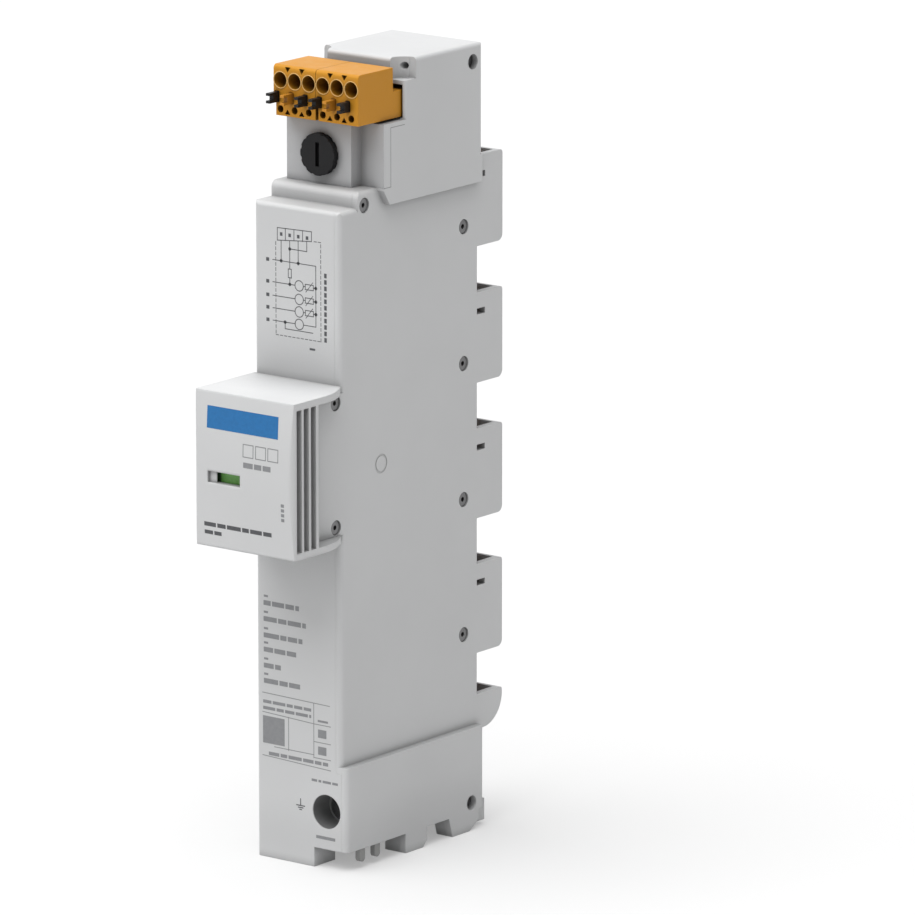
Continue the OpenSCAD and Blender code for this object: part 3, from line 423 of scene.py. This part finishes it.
def quads(rects, rows=1):
    """Rectangles x0, z0, x1, z1 as grids: z = z0 + (z1 - z0) k / rows, x = x0 or x1."""
    r = np.asarray(rects, float)
    t = np.linspace(0.0, 1.0, rows + 1)
    z = r[:, 1, None] + (r[:, 3] - r[:, 1])[:, None] * t
    x = np.stack([r[:, 0], r[:, 2]], 1)
    p = np.stack(np.broadcast_arrays(x[:, None, :], z[:, :, None]), -1)
    i = np.arange(len(r))[:, None] * 2 * (rows + 1) + np.arange(rows) * 2
    f = np.stack([i, i + 1, i + 3, i + 2], -1)
    return p.reshape(-1, 2), f.reshape(-1, 4)


def strokes(lines, width):
    """Lines x0, z0, x1, z1 as strips that run on by width / 2.

    corner = end +- e +- n width / 2, with n = (-dz, dx) / length and e = d width / 2.
    """
    s = np.asarray(lines, float)
    a, b = s[:, :2], s[:, 2:]
    d = (b - a) / np.linalg.norm(b - a, axis=1)[:, None]
    n = np.stack([-d[:, 1], d[:, 0]], 1) * width / 2
    e = d * width / 2
    p = np.stack([a - e + n, a - e - n, b + e - n, b + e + n], 1)
    return p.reshape(-1, 2), np.arange(4 * len(s)).reshape(-1, 4)


def rings(circles, width, sides=40):
    """Circles x, z, r as annuli: p = c + (r +- width / 2) (cos a, sin a)."""
    c = np.asarray(circles, float)
    a = np.linspace(0.0, 2.0 * np.pi, sides, endpoint=False)
    ray = np.stack([np.cos(a), np.sin(a)], -1)
    radius = np.stack([c[:, 2] - width / 2, c[:, 2] + width / 2], 1)
    p = c[:, None, None, :2] + radius[:, :, None, None] * ray
    k = np.arange(sides)
    k1 = (k + 1) % sides
    f = np.stack([k, k + sides, k1 + sides, k1], -1)
    return p.reshape(-1, 2), (np.arange(len(c))[:, None, None] * 2 * sides + f).reshape(-1, 4)


def dashes(x0, z0, x1, z1):
    """Dashed line as short lines: start = a + d k step, end = start + d step fill."""
    a, b = np.array([x0, z0]), np.array([x1, z1])
    length = np.linalg.norm(b - a)
    d = (b - a) / length
    dash = DASH_STEP * DASH_FILL
    k = np.arange(0.0, length - dash, DASH_STEP)[:, None]
    return np.hstack([a + d * k, a + d * (k + dash)])


def words(x0, x1, z, height, lengths):
    """Rectangles of a row of bars: the lengths cycle through a list, and the row ends at x1."""
    n = np.resize(np.asarray(lengths, float), WORDS_MOST)
    start = x0 + np.concatenate([[0.0], np.cumsum(n + WORD_GAP)[:-1]])
    end = np.minimum(start + n, x1)
    keep = start < x1 - WORD_LEAST
    z = np.full(keep.sum(), z)
    return np.stack([start[keep], z, end[keep], z + height], 1)


def printed(name, parts, surface, look, place=(0.0, 0.0)):
    """Sheet of ink: flat parts joined and moved to a place, y = surface(x, z) - lift."""
    first = np.cumsum([0] + [len(p) for p, _ in parts])
    flat = np.vstack([p for p, _ in parts]) + place
    faces = np.vstack([f + i for (_, f), i in zip(parts, first)])
    y = surface(flat[:, 0], flat[:, 1]) - INK_LIFT
    put(name, np.stack([flat[:, 0], y, flat[:, 1]], 1), faces, look, "housing")


def flat_front(x, z):
    """Front of the body: y = 0."""
    return np.zeros_like(x)


def nose_front(x, z):
    """Crowned nose: y = front + R - sqrt(R^2 - (z - mid)^2)."""
    return NOSE_FRONT + NOSE_CURVE - np.sqrt(NOSE_CURVE ** 2 - (z - NOSE_MID) ** 2)


# Printed fields on the front

INK_DARK = ink("ink_dark", (0.085, 0.088, 0.095))
INK_SOFT = ink("ink_soft", (0.28, 0.285, 0.295))
INK_BLUE = ink("ink_blue", (0.012, 0.17, 0.45))
LINE = 0.22
THIN = 0.2

ROWS = (169.0, 165.1, 161.5, 157.9)
VARISTOR_ROWS = ROWS[:3]
RAIL = 175.4
BRANCH = 179.2
LEADS = (-5.95, -2.85, 0.2, 3.3)
BUS = 6.5
FUSE = (170.9, 173.4)
CIRCUIT = [
    # Terminal boxes
    (-7.3, 181.2, 5.0, 182.3), (-7.3, 184.8, 5.0, 185.1),
    (-7.3, 181.2, -7.3, 184.8), (5.0, 182.3, 5.0, 185.1),
    (-4.4, 181.4, -4.4, 184.9), (-1.3, 181.7, -1.3, 184.9), (1.8, 181.9, 1.8, 185.0),
    # Rail, bus and leads of the terminals
    (-9.0, RAIL, BUS, RAIL), (BUS, RAIL, BUS, ROWS[3]),
    (LEADS[0], 181.2, LEADS[0], RAIL), (LEADS[1], 181.5, LEADS[1], FUSE[1]),
    (LEADS[1], FUSE[0], LEADS[1], ROWS[0]), (LEADS[2], 181.7, LEADS[2], RAIL),
    (LEADS[3], 182.0, LEADS[3], BRANCH), (LEADS[1], BRANCH, LEADS[3], BRANCH),
    # Earth row
    (-4.6, ROWS[3], -4.6, 156.0), (-4.6, 156.0, 5.4, 156.0), (2.0, ROWS[3], BUS, ROWS[3]),
]
FRAME = [(-7.9, 180.7, -7.9, 153.9), (-7.9, 153.9, 8.3, 153.9), (8.3, 153.9, 8.3, 182.4),
         (8.3, 182.4, 5.2, 182.4)]
JOINTS = [(LEADS[0], RAIL), (LEADS[2], RAIL), (LEADS[1], BRANCH), (LEADS[1], ROWS[0]),
          (-4.6, ROWS[3])]
NOTE_Z = np.arange(11) * 1.85
diagram = [
    strokes(CIRCUIT, LINE),
    strokes([(-9.0, z, -1.0, z) for z in ROWS], LINE),
    strokes([(x0, z, x1, z) for x0, x1 in ((2.0, 2.7), (5.6, BUS)) for z in VARISTOR_ROWS], LINE),
    strokes([(2.7, z + s, 5.6, z + s) for z in VARISTOR_ROWS for s in (-0.75, 0.75)], LINE),
    strokes([(x, z - 0.75, x, z + 0.75) for z in VARISTOR_ROWS for x in (2.7, 5.6)], LINE),
    strokes([(2.9, z - 1.5, 5.4, z + 1.5) for z in VARISTOR_ROWS], 0.18),
    strokes([(x, FUSE[0], x, FUSE[1]) for x in (-3.4, -2.3)], LINE),
    strokes([(-3.4, z, -2.3, z) for z in FUSE], LINE),
    strokes(np.vstack([dashes(*line) for line in FRAME]), THIN),
    rings([(0.5, z, 1.5) for z in ROWS], 0.24),
    rings([(x, z, 0.26) for x, z in JOINTS], 0.5, 16),
    rings([(BUS, z, 0.26) for z in VARISTOR_ROWS], 0.5, 16),
    quads([(-11.4, z - 0.5, -10.3, z + 0.5) for z in (175.3, *ROWS)]),
    quads([(x - 0.45, 182.6, x + 0.45, 183.6) for x in (-5.9, -2.85, 0.25, 3.4)]),
    quads([(9.5, z + 153.9, 10.4, z + 155.2) for z in NOTE_Z]),
    quads([(4.2, 151.0, 6.2, 151.6)]),
]
printed("diagram_print", diagram, flat_front, INK_DARK, (0.27, -0.15))

# Height of a row, its right end and the lengths of its bars
RATING = (
    (75.0, 0.2, (2.6, 4.4, 3.1)), (70.3, 2.7, (4.8, 3.0)), (65.5, 1.4, (5.6, 2.2, 3.4)),
    (61.3, -0.6, (3.4, 4.0)), (56.6, -6.5, (3.6, 2.2)), (52.1, 0.8, (5.2, 3.0, 4.0)),
)
rating = [quads(words(-12.7, end, z - 0.7, 1.4, lengths)) for z, end, lengths in RATING]
rating.append(quads([(-12.6, z + 1.7, -11.1, z + 2.3) for z, _, _ in RATING]))
printed("rating_print", rating, flat_front, INK_SOFT)

TABLE_LINES = [
    (-13.2, 48.2, 11.2, 47.8), (-13.2, 42.5, 5.4, 41.8), (-13.2, 29.7, 11.5, 28.9),
    (5.45, 47.8, 5.45, 31.8), (-3.75, 42.2, -3.75, 32.4), (-8.9, 32.7, 5.4, 32.7),
    (5.45, 41.8, 11.5, 41.8), (5.45, 36.6, 11.5, 36.6), (5.45, 31.9, 11.5, 31.9),
]
table = [
    strokes(TABLE_LINES, THIN),
    quads(words(-13.0, 4.5, 45.2, 0.9, (3.0, 4.6, 2.2))),
    quads(words(-13.0, 4.5, 43.3, 0.9, (4.4, 2.6, 3.4))),
    quads(words(-11.0, 10.6, 30.0, 1.0, (3.8, 2.4, 4.8))),
    quads([(-13.1, 33.4, -5.2, 41.4)]),
    quads([(6.9, 42.6, 10.6, 43.2), (7.0, 38.0, 10.0, 40.4), (7.0, 33.0, 10.0, 35.4)]),
    quads(words(4.6, 14.4, 24.9, 0.7, (2.0, 1.0, 3.0))),
    quads([(6.2, 8.3, 13.1, 9.2)]),
]
printed("table_print", table, flat_front, INK_SOFT, (0.0, 0.33))

earth_sign = [
    strokes([(0.6, 18.9, 0.6, 17.1)], 0.3),
    quads([(-1.0, 16.8, 2.2, 17.1), (-0.4, 16.2, 1.6, 16.5), (0.1, 15.6, 1.1, 15.9)]),
]
printed("earth_sign_print", earth_sign, flat_front, INK_DARK, (-0.06, 0.3))

NOSE_PLACE = (4.05, 1.65)
BOXES = (-1.8, 2.7, 7.1)
BOX = 3.6
BOX_ENDS = (123.0, 126.6)
nose_band = [quads([(-15.0, 129.6, 10.6, 136.0)], 10)]
printed("nose_band_print", nose_band, nose_front, INK_BLUE, NOSE_PLACE)
nose_marks = [
    strokes([(x, z, x + BOX, z) for z in BOX_ENDS for x in BOXES], LINE),
    quads([(x + s - LINE / 2, BOX_ENDS[0], x + s + LINE / 2, BOX_ENDS[1])
           for x in BOXES for s in (0.0, BOX)], 6),
    quads(words(-1.7, 8.4, 119.9, 1.5, (3.4, 2.6, 2.8)), 3),
    quads([(11.7, 106.2 + 1.4 * k, 12.8, 107.1 + 1.4 * k) for k in range(4)], 2),
]
printed("nose_marks_print", nose_marks, nose_front, INK_SOFT, NOSE_PLACE)
nose_rows = [
    quads(words(-16.3, 8.3, 101.1, 1.2, (4.2, 3.0, 5.0, 2.4)), 2),
    quads(words(-16.3, -9.8, 98.8, 1.1, (3.0, 2.6)), 2),
]
printed("nose_rows_print", nose_rows, nose_front, INK_DARK, NOSE_PLACE)


# Small mouldings

RIM_SIDES = 16
BLIND_POINTS = 13
BLIND_WALL = 0.4
KEY_POINTS = 9
KEY_WALL = 0.06
KEY_Y = (15.8, 21.9)
KEY_Z = (216.9, 218.7)


def rims(name, centres, radius, y, half, square, look, body, around=64):
    """Rings about lines along Y: r = radius + half_r c, y = y - half_y e.

    c and e are cos b and sin b, their sizes raised to the power square.
    """
    a = np.linspace(0.0, 2.0 * np.pi, around, endpoint=False)[:, None]
    b = np.linspace(0.0, 2.0 * np.pi, RIM_SIDES, endpoint=False)[None, :]
    c = np.sign(np.cos(b)) * np.abs(np.cos(b)) ** square
    e = np.sign(np.sin(b)) * np.abs(np.sin(b)) ** square
    r = radius + half[0] * c
    ring = np.stack(np.broadcast_arrays(r * np.cos(a), y - half[1] * e, r * np.sin(a)), -1)
    middle = np.asarray([(x, 0.0, z) for x, z in centres])[:, None, None, :]
    faces = ring_faces(len(centres), around, RIM_SIDES)
    put(name, middle + ring, faces, look, body, True)


def window_blind(name, x_span, z_span, inset, look):
    """Pale plate in the window: y = nose front + inset + 0.15 |2 s - 1|^6, s = 0..1 along X."""
    s = np.linspace(0.0, 1.0, BLIND_POINTS)
    x, z = np.meshgrid(x_span[0] + (x_span[1] - x_span[0]) * s,
                       np.linspace(*z_span, BLIND_POINTS), indexing="ij")
    y = nose_front(x, z) + inset + 0.15 * (np.abs(2.0 * s - 1.0) ** 6)[:, None]
    faces = sheet_faces(BLIND_POINTS, BLIND_POINTS)
    thicken(put(name, np.stack([x, y, z], -1), faces, look, "housing"), BLIND_WALL)


def key_wall(name, x, body):
    """Thin wall in the key notch of a plug: x = x0 + 0.05 |2 s - 1|^8, s = 0..1 along Y."""
    s = np.linspace(0.0, 1.0, KEY_POINTS)
    y, z = np.meshgrid(np.linspace(*KEY_Y, KEY_POINTS), np.linspace(*KEY_Z, KEY_POINTS),
                       indexing="ij")
    x = np.broadcast_to(x + 0.05 * (np.abs(2.0 * s - 1.0) ** 8)[:, None], y.shape)
    faces = sheet_faces(KEY_POINTS, KEY_POINTS)[:, [0, 3, 2, 1]]
    thicken(put(name, np.stack([x, y, z], -1), faces, LOOKS["plug_orange"], body), KEY_WALL)


def side_seam(name, x, rects, look):
    """Hairline joint in a side face: flat rectangles y0, z0, y1, z1 at one x."""
    p, f = quads(rects)
    points = np.stack([np.full(len(p), x), p[:, 0], p[:, 1]], 1)
    put(name, points, f if x > 0.0 else f[:, ::-1], look, "housing")


LEFT_ENTRIES = [(x, 225.3) for x in (-11.7, -6.62, -1.54)]
RIGHT_ENTRIES = [(x, 225.3) for x in (3.54, 8.62, 13.7)]
# The rims are coloured paler than the plug: painted highlight on the rounded entry mouths
ENTRY_RIM = {"radius": 2.38, "y": 7.48, "half": (0.16, 0.14), "square": 1.0,
             "look": plastic("entry_rim", (0.86, 0.52, 0.17), **SMALL, inner_shade_dark=0.6)}
rims("entry_rims_left", LEFT_ENTRIES, body="plug_left_body", **ENTRY_RIM)
rims("entry_rims_right", RIGHT_ENTRIES, body="plug_right_body", **ENTRY_RIM)
key_wall("key_wall_left", -13.32, "plug_left_body")
key_wall("key_wall_right", 1.92, "plug_right_body")
rims("cap_rim", [(-1.2, 204.6)], 5.83, 11.75, (0.17, 0.85), 0.4, LOOKS["cap_black"], "fuse_knob",
     around=96)
window_blind("status_blind", (-10.55, -7.85), (115.6, 119.0), 0.8,
             plastic("blind_plastic", (0.76, 0.765, 0.77), 0.4))

SEAM = [(20.52, 196.1, 20.68, 212.9), (20.52, 212.9, 27.0, 213.06), (17.42, 195.94, 20.68, 196.1)]
SEAM_LIFT = 0.01
SEAM_SHADE = ink("seam_shade", (0.26, 0.26, 0.265))
side_seam("insert_seam_right", BOX_RIGHT + SEAM_LIFT, SEAM, SEAM_SHADE)
side_seam("insert_seam_left", BODY_LEFT - SEAM_LIFT, SEAM, SEAM_SHADE)


# Floor and light

FLOOR_HALF = 6.0
FLOOR_POINTS = 13
FLOOR_GREY = (0.6, 0.6, 0.6, 1.0)
FLOOR_LIFT = 0.3
SKY_LEVEL = 0.3


def plain_view(tree):
    """1 for rays from the camera, from gloss and through glass, 0 for the light on the part."""
    rays = add(tree, "ShaderNodeLightPath").outputs
    sockets = {0: rays["Is Camera Ray"], 1: rays["Is Glossy Ray"]}
    seen = add(tree, "ShaderNodeMath", sockets, operation="MAXIMUM").outputs[0]
    sockets = {0: seen, 1: rays["Is Transmission Ray"]}
    return add(tree, "ShaderNodeMath", sockets, operation="MAXIMUM").outputs[0]


def stage_floor():
    """Pale level sheet, z = 0; it is seen a little brighter than it lights the part."""
    look, tree, shader = new_material("floor_sheet")
    sockets = {0: plain_view(tree), 1: FLOOR_LIFT}
    lift = add(tree, "ShaderNodeMath", sockets, operation="MULTIPLY").outputs[0]
    feed(tree, shader, {"Base Color": FLOOR_GREY, "Roughness": 0.9, "Emission Color": WHITE,
                        "Emission Strength": lift})
    t = np.linspace(-FLOOR_HALF, FLOOR_HALF, FLOOR_POINTS)
    x, y = np.meshgrid(t, t, indexing="ij")
    co = np.stack([x, y, np.zeros_like(x)], -1).reshape(-1, 3)
    floor = new_object("floor", co, sheet_faces(FLOOR_POINTS, FLOOR_POINTS), look)


def sky(level):
    """Even world light; the camera, gloss and glass see plain white."""
    world = bpy.data.worlds.new("studio")
    bpy.context.scene.world = world
    world.use_nodes = True
    tree = world.node_tree
    tree.nodes.clear()
    light = add(tree, "ShaderNodeBackground", {"Color": WHITE, "Strength": level}).outputs[0]
    white = add(tree, "ShaderNodeBackground", {"Color": WHITE}).outputs[0]
    mix = add(tree, "ShaderNodeMixShader", {0: plain_view(tree), 1: light, 2: white})
    add(tree, "ShaderNodeOutputWorld", {"Surface": mix.outputs[0]})


def soft_sun(name, towards, strength, angle):
    """Wide distant light that shines from the direction towards; the angle is in degrees."""
    lamp = bpy.data.lights.new(name, "SUN")
    lamp.energy = strength
    lamp.angle = np.radians(angle)
    sun = bpy.data.objects.new(name, lamp)
    sun.rotation_euler = Vector(towards).to_track_quat("Z", "Y").to_euler()
    bpy.context.scene.collection.objects.link(sun)


stage_floor()
sky(SKY_LEVEL)
soft_sun("top_light", towards=(-0.1, -0.3, 1.0), strength=2.9, angle=70.0)


# Camera, fitted to corner points in the photograph

RIGHT = Vector((0.79167, 0.61096, 0.0))
UP = Vector((-0.13788, 0.17866, 0.97422))
BACK = RIGHT.cross(UP)
AIM = Vector((0.0, 20.0, 125.0)) - Vector(MIDDLE)
AWAY, ASIDE, RISE = 2532.03, 32.983, -9.289
EYE = (AIM + AWAY * BACK + ASIDE * RIGHT + RISE * UP) * MM
lens = bpy.data.cameras.new("camera")
lens.lens = 350.17
lens.sensor_width = 36.0
lens.clip_end = 100.0
camera = bpy.data.objects.new("camera", lens)
camera.matrix_world = Matrix((*zip(RIGHT, UP, BACK, EYE), (0.0, 0.0, 0.0, 1.0)))
bpy.context.scene.collection.objects.link(camera)
bpy.context.scene.camera = camera
bpy.context.scene.view_settings.view_transform = "Standard"
